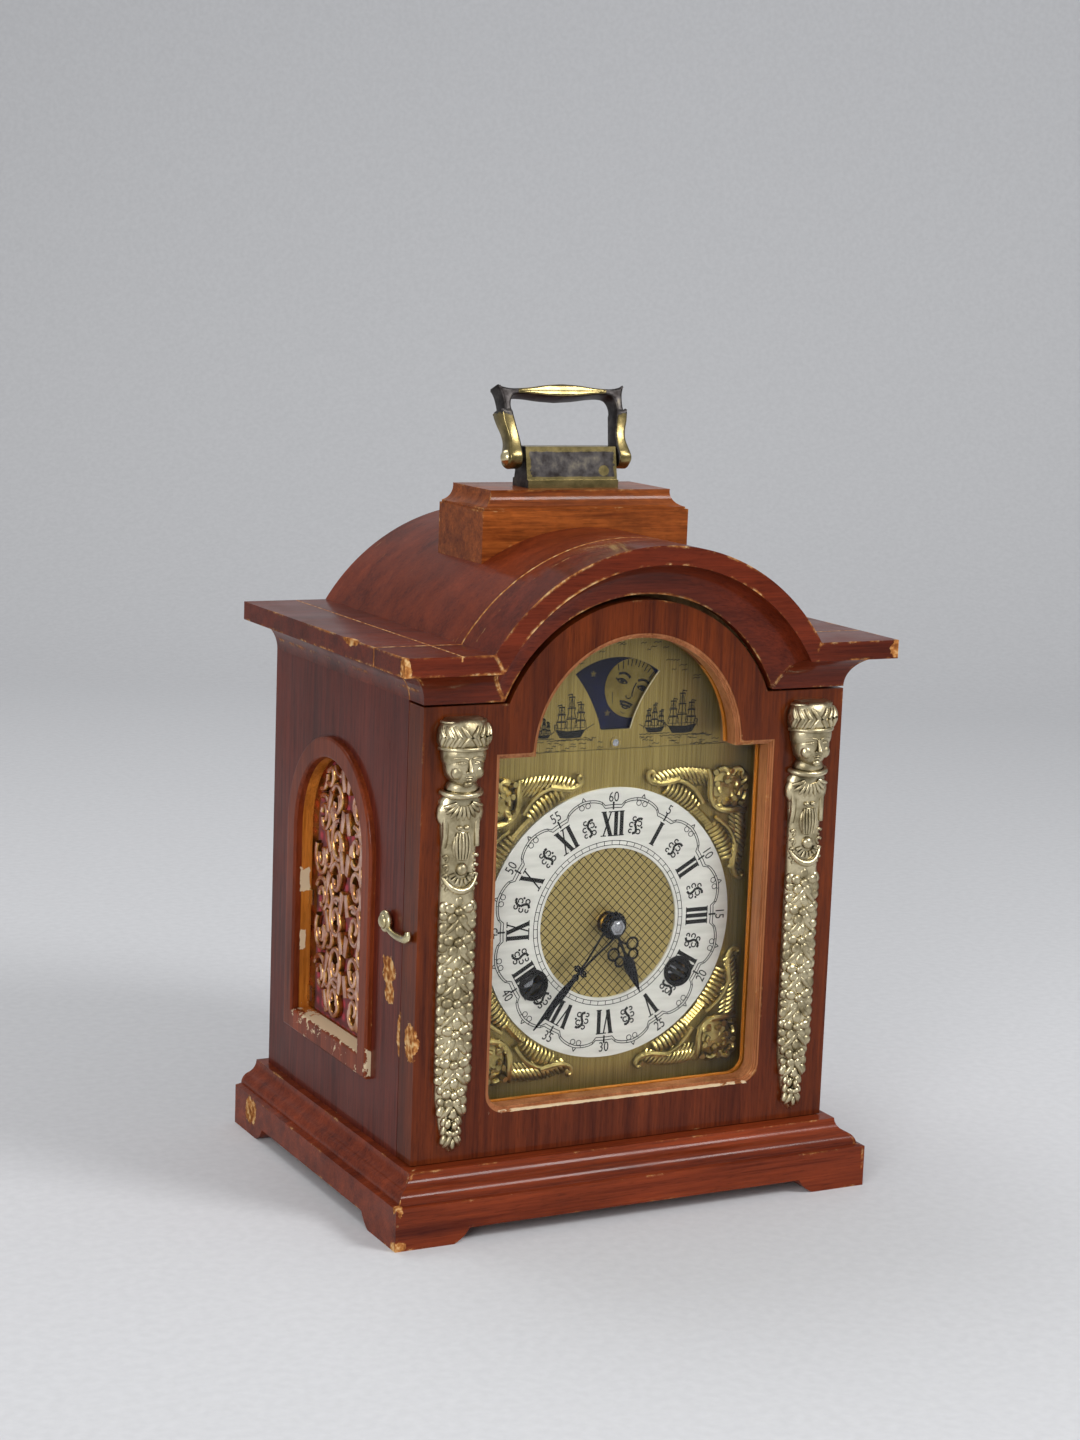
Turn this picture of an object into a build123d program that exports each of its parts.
from build123d import *
from math import acos, asin, atan2, cos, degrees, hypot, pi, radians, sin, sqrt, tan
import os

# A mahogany bracket clock with a break-arch dial, a moon disc and a folding brass handle.
# Millimetres. The origin is on the table under the middle of the plinth, +Z up.
# The dial looks towards -Y, so X runs to the right for someone who reads the dial.

# Plinth
plinth_w = 196.0
plinth_d = 156.0
plinth_h = 25.0
plinth_band_h = 15.5
plinth_ledge = 2.4
plinth_ledge_rise = 0.5
plinth_ogee_u = 5.6
plinth_ogee_z = 20.2
plinth_flat = 3.0
plinth_rail_t = 18.0
plinth_side_out = 11.75
foot_h = 5.4
foot_cove = 6.0
front_foot_l = 23.0
side_front_foot_l = 24.0
side_back_foot_l = 23.0
base_board_t = 13.0

# Case
case_t = 12.0
case_front_y = -51.0
case_back_y = 72.5
cornice_top_z = 210.5
cornice_h = 18.9
cornice_out = 14.05
fascia_h = 6.9
cornice_backing = 4.1
arch_centre_z = 168.6
arch_shoulder_w = 7.65
roof_t = 8.0
back_frame_t = 11.5

# Pedestal and handle
pedestal_w = 86.2
pedestal_front_y = -16.8
pedestal_back_y = 20.5
pedestal_band_rise = 6.4
pedestal_rise = 13.5
pedestal_ledge = 0.8
pedestal_cove = 4.4
pedestal_cove_start = 0.9
handle_y = 1.6
handle_base_w = 38.0
handle_base_d = 12.0
handle_base_top_d = 6.4
handle_base_h = 15.2
handle_flange_h = 3.0
handle_flange_out = 0.5
handle_pivot_h = 11.0
handle_lean = 21.0
bail_half_w = 26.2
bail_h = 26.0
bail_strap_d = 9.0
bail_strap_t = 3.0
bail_bar_swell = 1.3
bail_waist_in = 4.4
bail_bulge = 0.75
bail_waist_cut = 0.6
bail_horn_out = 0.5
bail_horn_up = 1.0
bail_bar_sink = 0.75
bail_corner_sink = 3.3
bail_inner_bulge = 1.5
bail_inner_hollow = 1.0
bail_inner_waist = 3.6
bail_outer_shares = (0.28, 0.5, 0.72, 0.86)
bail_inner_shares = (0.26, 0.46, 0.66, 0.78)
bail_bar_shares = (0.4, 0.66, 0.72)
bail_side_share = 0.7
bail_eye_r = 4.4
bail_eye_gap = 0.9
bail_screw_r = 1.6
bail_screw_head_r = 3.0
bail_screw_gap = 0.05
bail_screw_depth = 5.0

# Front door
door_t = 12.0
door_gap = 0.4
door_bottom_gap = 0.4
door_arch_gap = 2.1
door_stile_w = 30.65
window_bottom_z = 43.0
window_corner_r = 6.0
window_spring_z = 171.0
door_head_w = 18.4
window_bevel = 1.8
window_bevel_step = 0.3
window_bevel_shares = (0.33, 0.66, 1.0)
glass_rebate = 3.6
glass_front_step = 7.4
glass_t = 2.0
glass_gap = 0.3
glass_bead_t = 2.0
glass_bead_w = 3.4

# Figure mounts on the door stiles
figure_edge_in = 14.65
figure_top_z = 187.2
figure_tip_z = 28.8
figure_head_r = 8.4
figure_crown_r = 9.8
figure_neck_r = 5.4
figure_shoulder_r = 7.9
figure_body_r = 6.9
figure_waist_r = 6.3
figure_tip_r = 1.6
figure_crown_h = 7.0
figure_head_h = 21.0
figure_neck_h = 26.0
figure_shoulder_h = 31.0
figure_waist_h = 62.0
figure_taper_h = 118.0
figure_boss_r = 2.6
figure_boss_pitch = 13.0
figure_boss_rise = 12.8
figure_tip_rise = 9.6
figure_crown_share = 0.8
figure_band_share = 0.45
figure_cheek_share = 0.66
figure_nape_share = 0.92
figure_collar_share = 0.96
figure_arm_share = 1.2
figure_girdle_share = 1.3
figure_tip_share = 2.4

# Hinges, hook and back door
hinge_l = 24.0
hinge_leaf_w = 9.0
hinge_leaf_t = 0.8
hinge_r = 1.6
hinge_pin_r = 0.75
hinge_knuckles = 3
hinge_running_gap = 0.05
hinge_knuckle_gap = 0.3
hinge_inset = 0.35
door_hinge_low_z = 60.0
door_hinge_high_z = 158.0
catch_y = -57.0
catch_z = 107.2
catch_r = 0.9
catch_out = 3.2
catch_depth = 6.0
hook_y = -40.5
hook_t = 1.8
hook_w = 2.4
hook_eye_r = 3.6
hook_screw_r = 1.3
hook_screw_head_r = 2.5
hook_screw_head_t = 1.4
hook_screw_depth = 9.0
hook_stand_off = 0.5
hook_drop_angle = 9.0
hook_catch_gap = 0.35
hook_nose_t = 2.0
hook_nose_rise = 1.6
back_door_margin = 34.75
back_door_bottom_z = 38.5
back_door_top_z = 185.5
back_door_t = 5.0
back_door_gap = 0.6
back_door_rest_w = 3.5
back_knob_r = 4.2
back_knob_neck_r = 2.0
back_knob_out = 4.6
back_hinge_low_z = 66.0
back_hinge_high_z = 158.0

# Side windows
side_window_y = 13.0
side_bead_half_w = 39.7
side_bead_bottom_z = 47.0
side_bead_spring_z = 127.3
side_bead_w = 8.0
side_bead_out = 2.5
side_bead_lip = 3.4
side_bead_round = 1.1
fret_recess = 5.0
fret_t = 3.0
fret_gap = 0.25
fret_border_w = 3.4
fret_ring_w = 2.3
fret_row_pitch = 12.6
fret_scroll_r = 6.4
fret_far_y = 16.8
fret_small_r = 4.4
fret_edge_y = 26.6
fret_edge_r = 5.6
fret_stem_w = 2.4
cloth_t = 0.6
clip_w = 3.0
clip_h = 6.0
clip_t = 0.8
clip_low_z = 58.0
clip_high_z = 96.0

# Dial
dial_x = 0.0
dial_z = 103.2
dial_margin = 26.25
dial_bottom_z = 38.0
dial_joint_z = 168.7
dial_joint_gap = 0.1
dial_plate_y = -44.4
dial_plate_t = 1.0
dial_foot_r = 1.5
dial_foot_l = 6.0
dial_foot_x = 50.0
dial_foot_low_z = 48.0
dial_foot_high_z = 158.0
dial_foot_gap = 0.05
hour_hole_r = 4.4
arch_plate_r = 45.0
ring_outer_r = 51.2
ring_inner_r = 28.5
ring_t = 1.0
winding_x = 30.5
winding_drop = 20.9
winding_hole_r = 5.15
grommet_flange_r = 5.9
grommet_flange_t = 0.5
grommet_bore_r = 4.4
spandrel_t = 1.8
spandrel_reach_x = 56.4
spandrel_reach_low_z = 47.8
spandrel_reach_high_z = 161.6
spandrel_ring_gap = 1.0
spandrel_boss_share = 0.62
spandrel_dome_rise = 2.0
spandrel_lobe_share = 0.93
spandrel_least_share = 0.075
spandrel_spread_share = 0.66
spandrel_steps = 6
dial_frame_y = -43.4
dial_frame_t = 8.0
dial_opening_half_w = 38.0
dial_opening_bottom_z = 56.0

# Moon work
moon_pivot_z = 171.1
moon_teeth = 118
moon_module = 0.6
moon_disc_t = 1.0
moon_disc_gap = 1.0
moon_post_r = 1.5
moon_post_head_r = 2.1
moon_post_head_t = 0.7
moon_post_clip_r = 3.0
moon_post_clip_t = 0.6
moon_post_clip_gap = 0.3
moon_window_r = 31.7
moon_window_half_w = 17.5
moon_window_corner_h = 25.9
moon_window_foot_half_w = 6.2
moon_window_foot_h = 4.9
moon_hump_bow = 1.5
driver_teeth = 48
driver_finger_r = 0.6
driver_finger_angle = 35.0
driver_finger_gap = 0.35
driver_finger_end_gap = 0.8

# Hands and motion work
hand_t = 0.7
minute_hand_y = -51.4
hour_hand_y = -49.6
minute_hand_l = 49.0
minute_hand_angle = 222.0
hour_hand_l = 29.0
hour_hand_angle = 155.0
hand_boss_r = 4.2
hand_stem_w = 1.9
hand_tip_w = 0.7
nub_r = 1.5
loop_r = 3.1
loop_hole_r = 1.7
loop_join = 0.475
loop_hole_join = 0.2375
hand_root_share = 0.6
minute_hand_shares = (0.3, 0.5, 0.78)
nub_top_share = 1.6
hour_rod_share = 0.7
hour_loop_shares = (0.36, 0.55)
hour_leaf_share = 0.72
hour_leaf_w_share = 1.3
hand_nut_r = 3.0
hand_nut_t = 1.3
cannon_teeth = 14
minute_wheel_teeth = 42
minute_pinion_teeth = 12
hour_wheel_teeth = 48
cannon_module = 0.5
minute_stud_r = 1.2
cannon_pipe_r = 2.6
cannon_seat_r = 2.0
hour_pipe_wall = 1.0
motion_wheel_t = 1.2
motion_pinion_t = 3.0
motion_layer_1_y = -33.2
motion_layer_2_y = -35.8

# Movement plates
plate_front_y = -31.0
plate_t = 1.8
plate_back_y = 4.0
plate_half_w = 50.0
plate_low_z = 59.0
plate_high_z = 150.0
pillar_r = 3.2
pillar_inset = 4.6
pillar_screw_r = 3.4
pillar_screw_t = 1.4
post_x = 45.0
post_low_z = 74.0
post_high_z = 140.0
post_r = 3.0
arbor_r = 0.8
pivot_r = 0.5
running_gap = 0.05
end_shake = 0.3

# Gears, with short flat-flanked teeth
tooth_addendum_share = 0.62
tooth_dedendum_share = 1.0
tooth_thinning = 0.05
pressure_angle = 20.0
spoke_count = 4
spoke_w = 1.6
rim_share = 0.84
hub_share = 0.24

# Barrels and winding
barrel_r = 18.2
barrel_wall = 0.9
barrel_front_y = -26.0
barrel_back_y = -3.0
barrel_gear_t = 2.0
barrel_teeth = 72
barrel_module = 0.55
barrel_hub_r = 4.6
barrel_hub_gap = 0.8
winding_arbor_r = 2.5
winding_square = 3.6
winding_end_y = -41.6
winding_shoulder_y = -35.2
ratchet_r = 7.6
ratchet_teeth = 20
ratchet_depth = 1.0
ratchet_rake = 2.0
ratchet_t = 1.2
ratchet_y = -33.4

# Going train
leaf_teeth = 12
second_teeth = 72
second_module = 0.5
centre_teeth = 80
centre_module = 0.4
third_teeth = 72
third_module = 0.36
wheel_t = 1.2
pinion_over = 0.6
second_wheel_y = 0.6
centre_wheel_y = -28.2
third_wheel_y = -22.0
centre_arbor_r = 1.6
third_angle = 60.0
escape_angle = 60.0
escape_teeth = 15
escape_r = 8.0
escape_depth = 2.4
escape_y = 8.0
pallet_gap = 0.5
pallet_l = 5.4
pallet_w = 1.6
balance_reach = 22.0
balance_r = 9.0
balance_rim = 1.6
balance_t = 1.5
balance_y = 12.2
cock_y = 16.0
cock_t = 1.6
cock_edge = 7.0
cock_post_r = 2.2
cock_post_rise = 13.4

# Strike
pin_wheel_teeth = 60
pin_wheel_module = 0.4
pin_wheel_angle = 75.0
pin_count = 9
pin_orbit_share = 0.8
pin_r = 0.6
pin_l = 1.5
hammer_x = -42.0
hammer_z = 112.0
hammer_arbor_r = 1.2
hammer_tail_gap = 0.5
hammer_tail_w = 2.0
hammer_arm_w = 2.4
hammer_arm_t = 1.6
hammer_arm_gap = 0.4
hammer_head_r = 2.6
hammer_head_l = 9.0
bell_r = 32.0
bell_y = 22.0
bell_rim_z = 157.0
bell_h = 22.0
bell_wall = 1.4
bell_crown_share = 0.3
bell_waist_shares = (0.8, 0.72)
bell_gap = 0.7
bell_post_r = 2.0
bell_arm_h = 4.0
bell_arm_w = 6.0
bell_arm_z = 142.0
bell_foot_h = 8.0
bell_foot_t = 2.0
bell_nut_r = 3.6
bell_nut_t = 2.2

# Cutters reach this far past what they cut
overrun = 2.0

# Places that follow from the sizes above
case_half_w = plinth_w / 2 - plinth_side_out
case_top_z = cornice_top_z - cornice_h
arch_r = case_half_w - arch_shoulder_w
arch_inner_r = arch_r - cornice_h
pedestal_band_z = arch_centre_z + arch_r + pedestal_band_rise
pedestal_top_z = arch_centre_z + arch_r + pedestal_rise
window_half_w = case_half_w - door_stile_w
window_arch_r = arch_inner_r - door_head_w
figure_x = case_half_w - figure_edge_in
back_door_half_w = case_half_w - back_door_margin
dial_half_w = case_half_w - dial_margin
door_front_y = case_front_y - door_gap - door_t
door_back_y = door_front_y + door_t
cornice_front_y = door_front_y - cornice_out
cornice_back_y = door_front_y + cornice_backing
board_z = cornice_top_z - fascia_h
plinth_front_y = -plinth_d / 2
plinth_back_y = plinth_d / 2
roof_inner_r = arch_r - roof_t
mitre_low_x = sqrt(arch_inner_r ** 2 - (case_top_z - arch_centre_z) ** 2)
mitre_high_x = sqrt(arch_r ** 2 - (cornice_top_z - arch_centre_z) ** 2)
glass_front_y = door_front_y + glass_front_step
glass_back_y = glass_front_y + glass_t
handle_z = pedestal_top_z + handle_pivot_h
hinge_x = case_half_w + hinge_r + hinge_inset / 2
hinge_y = (door_back_y + case_front_y) / 2
hook_pivot_z = catch_z + (hook_y - catch_y) * tan(radians(hook_drop_angle))
hook_reach = hypot(hook_y - catch_y, hook_pivot_z - catch_z)
back_hinge_y = case_back_y + hinge_r
back_hinge_x = back_door_half_w + back_door_gap / 2
winding_z = dial_z - winding_drop
ring_y = dial_plate_y - ring_t
dial_back_y = dial_plate_y + dial_plate_t
moon_disc_y = dial_back_y + moon_disc_gap
plate_front_back_y = plate_front_y + plate_t
plate_back_back_y = plate_back_y + plate_t
hammer_arm_y = plate_back_back_y + pillar_screw_t + hammer_arm_gap
minute_stud_x = dial_x + cannon_module * (cannon_teeth + minute_wheel_teeth) / 2
motion_module = 2 * (minute_stud_x - dial_x) / (minute_pinion_teeth + hour_wheel_teeth)
driver_z = dial_z + motion_module * (hour_wheel_teeth + driver_teeth) / 2


def slab(sketch, y_front, y_back):
    """Solid of a front-view outline (x, z) between two depths."""
    return extrude(Plane.XZ.offset(-y_back) * sketch, y_back - y_front)


def side_slab(sketch, x_low, x_high):
    """Solid of a side-view outline (y, z) between two x places."""
    return extrude(Plane.YZ.offset(x_low) * sketch, x_high - x_low)


def flat_slab(sketch, z_low, z_high):
    """Solid of a plan outline (x, y) between two heights."""
    return extrude(Plane.XY.offset(z_low) * sketch, z_high - z_low)


def block(x_low, x_high, y_low, y_high, z_low, z_high):
    middle = Pos((x_low + x_high) / 2, (y_low + y_high) / 2, (z_low + z_high) / 2)
    return middle * Box(x_high - x_low, y_high - y_low, z_high - z_low)


def area(x_low, x_high, z_low, z_high):
    """Rectangle in a view, from its corners."""
    middle = Pos((x_low + x_high) / 2, (z_low + z_high) / 2)
    return middle * Rectangle(x_high - x_low, z_high - z_low)


def disc(x, z, r):
    return Pos(x, z) * Circle(r)


def rod(x, z, r, y_front, y_back):
    """Round bar along Y."""
    return slab(disc(x, z, r), y_front, y_back)


def tube(x, z, r_outer, r_inner, y_front, y_back):
    return slab(disc(x, z, r_outer) - disc(x, z, r_inner), y_front, y_back)


def cross_rod(y, z, r, x_low, x_high):
    """Round bar along X."""
    return side_slab(disc(y, z, r), x_low, x_high)


def arch_shape(half_w, bottom, spring, r, middle=0.0):
    """Upright opening with a round head. Where the head is narrower, it has shoulders."""
    body = area(middle - half_w, middle + half_w, bottom, spring)
    return body + (disc(middle, spring, r) - area(middle - r, middle + r, spring - r, spring))


def turned(shape, x, z, angle):
    """Shape of the front view, turned clockwise about a point for someone who faces the dial."""
    return Pos(x, z) * Rot(0, 0, -angle) * shape


def beyond(angle, x, z, distance):
    """Point at a distance from another, at an angle from +X towards +Z."""
    return x + distance * cos(radians(angle)), z + distance * sin(radians(angle))


def bearing(x_a, z_a, x_b, z_b):
    return degrees(atan2(z_b - z_a, x_b - x_a))


def mirrored(shape):
    return mirror(shape, Plane.YZ)


def save(node, *shapes):
    solids = [solid for shape in shapes for solid in shape.solids()]
    body = solids[0] if len(solids) == 1 else Compound(solids)
    export_step(body, f"parts/{node}.step")


# Plinth and case

def plinth_outline():
    """Moulding section: outward is -u, so u = 0 is the outer face and v = 0 the table."""
    top = (plinth_side_out - plinth_flat, plinth_h)
    middle = (plinth_ogee_u, plinth_ogee_z)
    low = (plinth_ledge, plinth_band_h + plinth_ledge_rise)
    body = Polyline(
        top,
        (plinth_rail_t, plinth_h),
        (plinth_rail_t, 0),
        (0, 0),
        (0, plinth_band_h),
        low,
    )
    round_part = TangentArc(low, middle, tangent=(0, plinth_h))
    hollow_part = TangentArc(top, middle, tangent=(0, -plinth_h))
    return make_face([*body.edges(), round_part, hollow_part])


def foot_gap(start, end):
    """Shape cut out between two feet, with a small cove at each foot."""
    low = Polyline((start, -overrun), (end, -overrun), (end, 0))
    right = TangentArc((end, 0), (end - foot_cove, foot_h), tangent=(-foot_cove, foot_h / 2))
    top = Line((end - foot_cove, foot_h), (start + foot_cove, foot_h))
    left = TangentArc((start, 0), (start + foot_cove, foot_h), tangent=(foot_cove, foot_h / 2))
    return make_face([*low.edges(), Line((start, -overrun), (start, 0)), right, top, left])


def plinth_mouldings():
    half_w = plinth_w / 2
    inner_x = half_w - plinth_rail_t
    inner_front = plinth_front_y + plinth_rail_t
    inner_back = plinth_back_y - plinth_rail_t
    section = plinth_outline()
    front = side_slab(Pos(plinth_front_y, 0) * section, -half_w, half_w)
    front_plan = Polygon((-half_w, plinth_front_y), (half_w, plinth_front_y),
                         (inner_x, inner_front), (-inner_x, inner_front), align=None)
    front &= flat_slab(front_plan, 0, plinth_h)
    front -= slab(foot_gap(-half_w + front_foot_l, half_w - front_foot_l),
                  plinth_front_y - overrun, inner_front + overrun)
    left = slab(Pos(-half_w, 0) * section, plinth_front_y, plinth_back_y)
    left_plan = Polygon((-half_w, plinth_front_y), (-inner_x, inner_front),
                        (-inner_x, plinth_back_y), (-half_w, plinth_back_y), align=None)
    left &= flat_slab(left_plan, 0, plinth_h)
    gap = foot_gap(plinth_front_y + side_front_foot_l, plinth_back_y - side_back_foot_l)
    left -= side_slab(gap, -half_w - overrun, -inner_x + overrun)
    back = block(-inner_x, inner_x, inner_back, plinth_back_y, foot_h, plinth_h)
    return [front, left, mirrored(left), back]


def base_board():
    half_w = plinth_w / 2 - plinth_rail_t
    y_reach = plinth_d / 2 - plinth_rail_t
    return block(-half_w, half_w, -y_reach, y_reach, plinth_h - base_board_t, plinth_h)


def side_opening(shrink):
    """Arched outline of the side window, drawn in from the bead's outer edge."""
    return arch_shape(side_bead_half_w - shrink, side_bead_bottom_z + shrink, side_bead_spring_z,
                      side_bead_half_w - shrink, side_window_y)


def right_side_panel():
    panel = block(case_half_w - case_t, case_half_w, case_front_y, case_back_y, plinth_h, board_z)
    opening = side_slab(side_opening(side_bead_w - side_bead_lip),
                        case_half_w - case_t - overrun, case_half_w + overrun)
    recess_y = case_front_y + hinge_leaf_t
    for z in (door_hinge_low_z, door_hinge_high_z):
        panel -= block(case_half_w - hinge_leaf_w, case_half_w, case_front_y, recess_y,
                       z - hinge_l / 2, z + hinge_l / 2)
    return panel - opening


def left_side_panel():
    panel = block(-case_half_w, -case_half_w + case_t, case_front_y, case_back_y, plinth_h, board_z)
    opening = side_slab(side_opening(side_bead_w - side_bead_lip),
                        -case_half_w - overrun, -case_half_w + case_t + overrun)
    screw = cross_rod(hook_y, hook_pivot_z, hook_screw_r, -case_half_w - overrun,
                      -case_half_w + hook_screw_depth)
    return panel - opening - screw


def right_window_bead():
    face_x = case_half_w + side_bead_out
    ring = side_opening(0) - side_opening(side_bead_w)
    proud = side_slab(ring, case_half_w, face_x)
    rim = proud.faces().sort_by(Axis.X)[-1]
    proud = fillet(rim.edges(), side_bead_round)
    lining = side_opening(side_bead_w - side_bead_lip) - side_opening(side_bead_w)
    return proud + side_slab(lining, case_half_w - fret_recess, case_half_w)


def fret_ring(y, z, r):
    return disc(y, z, r) - disc(y, z, r - fret_ring_w)


def fret_sketch():
    """Pierced scrollwork: mirrored rows of rings beside a stem, inside an arched border."""
    shrink = side_bead_w - side_bead_lip + fret_gap
    outline = side_opening(shrink)
    inside = side_opening(shrink + fret_border_w)
    rings = Rectangle(fret_stem_w, side_bead_half_w * 4)
    rings = Pos(side_window_y, side_bead_spring_z) * rings
    bottom = side_bead_bottom_z + shrink + fret_border_w
    top = side_bead_spring_z + side_bead_half_w - shrink
    for row in range(int((top - bottom) / fret_row_pitch)):
        z = bottom + (row + 0.5) * fret_row_pitch
        far_z = z + fret_row_pitch / 2
        for side in (-1, 1):
            rings += fret_ring(side_window_y + side * fret_scroll_r, z, fret_scroll_r)
            rings += fret_ring(side_window_y + side * fret_far_y, far_z, fret_scroll_r)
            rings += fret_ring(side_window_y + side * fret_far_y, z, fret_small_r)
            rings += fret_ring(side_window_y + side * fret_edge_y, z, fret_edge_r)
    return (outline - inside) + (inside & rings)


def right_fret(sketch):
    x_front = case_half_w - fret_recess
    return side_slab(sketch, x_front - fret_t, x_front)


def right_cloth():
    x_front = case_half_w - fret_recess - fret_t
    return side_slab(side_opening(side_bead_w - side_bead_lip + fret_gap), x_front - cloth_t, x_front)


def right_clips():
    """Small brass turn clips that hold the fret at its rear edge."""
    x_back = case_half_w - fret_recess
    y_edge = side_window_y + side_bead_half_w - side_bead_w
    return [
        block(x_back, x_back + clip_t, y_edge - clip_w, y_edge, z, z + clip_h)
        for z in (clip_low_z, clip_high_z)
    ]


def barrel_area(r):
    """Part of the roof's circle that stands above the boards."""
    return disc(0, arch_centre_z, r) - area(-arch_r, arch_r, board_z - arch_r * 2, board_z)


def dial_frame():
    """Softwood mask behind the dial. Its arch carries the front of the roof."""
    inner_x = case_half_w - case_t
    outline = area(-inner_x, inner_x, plinth_h, board_z)
    outline += barrel_area(roof_inner_r)
    outline -= arch_shape(dial_opening_half_w, dial_opening_bottom_z, moon_pivot_z, dial_opening_half_w)
    board = slab(outline, dial_frame_y, dial_frame_y + dial_frame_t)
    for x in (-dial_foot_x, dial_foot_x):
        for z in (dial_foot_low_z, dial_foot_high_z):
            board -= rod(x, z, dial_foot_r + dial_foot_gap, dial_frame_y - overrun,
                         dial_frame_y + dial_foot_l)
    return board


def back_frame():
    inner_x = case_half_w - case_t
    y_front = case_back_y - back_frame_t
    outline = area(-inner_x, inner_x, plinth_h, board_z)
    outline += barrel_area(roof_inner_r)
    opening = area(-back_door_half_w - back_door_gap, back_door_half_w + back_door_gap,
                   back_door_bottom_z - back_door_gap, back_door_top_z + back_door_gap)
    rest = area(-back_door_half_w + back_door_rest_w, back_door_half_w - back_door_rest_w,
                back_door_bottom_z + back_door_rest_w, back_door_top_z - back_door_rest_w)
    board = slab(outline - rest, y_front, case_back_y)
    return board - slab(opening, case_back_y - back_door_t - back_door_gap, case_back_y + overrun)


def cornice_section(base_u, base_v, backing):
    """Cove under a flat fascia. u falls with the projection, v is the height."""
    cove_end = (base_u - cornice_out, base_v + cornice_h - fascia_h)
    top = base_v + cornice_h
    points = [cove_end, (base_u - cornice_out, top), (base_u + backing, top)]
    if backing > 0:
        points.append((base_u + backing, base_v))
    body = Polyline(*points, (base_u, base_v))
    cove = TangentArc((base_u, base_v), cove_end, tangent=(0, cornice_h))
    return make_face([*body.edges(), cove])


def arch_sector():
    """Front-view region between the two mitres of the arch."""
    run_x = mitre_high_x - mitre_low_x
    low = (mitre_low_x - run_x, case_top_z - cornice_h)
    high = (mitre_high_x + run_x * 2, cornice_top_z + cornice_h * 2)
    return Polygon((-low[0], low[1]), low, high, (-high[0], high[1]), align=None)


def cornice_arch():
    section = Plane.YZ * cornice_section(door_front_y, arch_centre_z + arch_inner_r, cornice_backing)
    ring = revolve(section, Axis((0, 0, arch_centre_z), (0, 1, 0)))
    return ring & slab(arch_sector(), cornice_front_y - overrun, cornice_back_y + overrun)


def left_cornice_mouldings():
    outer_x = case_half_w + cornice_out
    section = cornice_section(door_front_y, case_top_z, cornice_backing)
    front = side_slab(section, -outer_x, 0)
    front_plan = Polygon((-outer_x, cornice_front_y), (0, cornice_front_y), (0, cornice_back_y),
                         (-case_half_w, cornice_back_y), (-case_half_w, door_front_y), align=None)
    front &= flat_slab(front_plan, case_top_z, cornice_top_z)
    front -= slab(arch_sector(), cornice_front_y - overrun, cornice_back_y + overrun)
    side = slab(cornice_section(-case_half_w, case_top_z, 0), cornice_front_y, case_back_y)
    side_plan = Polygon((-outer_x, cornice_front_y), (-case_half_w, door_front_y),
                        (-case_half_w, case_back_y), (-outer_x, case_back_y), align=None)
    side &= flat_slab(side_plan, case_top_z, cornice_top_z)
    return [front, side]


def right_top_board():
    board = block(mitre_low_x, case_half_w, cornice_back_y, case_back_y, board_z, cornice_top_z)
    return board - rod(0, arch_centre_z, arch_r, cornice_back_y - overrun, case_back_y + overrun)


def roof_barrel():
    outline = barrel_area(arch_r) - disc(0, arch_centre_z, roof_inner_r)
    return slab(outline, cornice_back_y, case_back_y)


# Pedestal and handle

def handle_pedestal():
    """Block on the roof with a cove along the front and both ends, under a flat top."""
    half_w = pedestal_w / 2
    low_z = arch_centre_z + sqrt(arch_r ** 2 - half_w ** 2)
    body = block(-half_w, half_w, pedestal_front_y, pedestal_back_y, low_z - overrun, pedestal_top_z)
    body -= rod(0, arch_centre_z, arch_r, pedestal_front_y - overrun, pedestal_back_y + overrun)
    cove_low = (pedestal_cove_start, pedestal_band_z + pedestal_ledge)
    cove_high = (pedestal_cove + pedestal_cove_start, pedestal_top_z)
    edges = Polyline(cove_high, (cove_high[0], pedestal_top_z + overrun),
                     (-overrun, pedestal_top_z + overrun), (-overrun, pedestal_band_z),
                     (pedestal_cove_start, pedestal_band_z), cove_low)
    cove = TangentArc(cove_low, cove_high, tangent=(pedestal_cove, pedestal_ledge))
    waste = make_face([*edges.edges(), cove])
    front = side_slab(Pos(pedestal_front_y, 0) * waste, -half_w - overrun, half_w + overrun)
    left = slab(Pos(-half_w, 0) * waste, pedestal_front_y - overrun, pedestal_back_y + overrun)
    return body - front - left - mirrored(left)


def handle_base():
    half_w = handle_base_w / 2
    half_d = handle_base_d / 2
    flange_d = half_d + handle_flange_out
    top = handle_base_top_d / 2
    section = Polygon((-half_d, 0), (half_d, 0), (top, handle_base_h), (-top, handle_base_h),
                      align=None)
    body = side_slab(Pos(handle_y, pedestal_top_z) * section, -half_w, half_w)
    flange = block(-half_w, half_w, handle_y - flange_d, handle_y + flange_d,
                   pedestal_top_z, pedestal_top_z + handle_flange_h)
    hole = cross_rod(handle_y, handle_z, bail_screw_r, -half_w - overrun, half_w + overrun)
    keep = cross_rod(handle_y, handle_z, bail_screw_r, -half_w + bail_screw_depth,
                     half_w - bail_screw_depth)
    return body + flange - (hole - keep)


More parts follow.
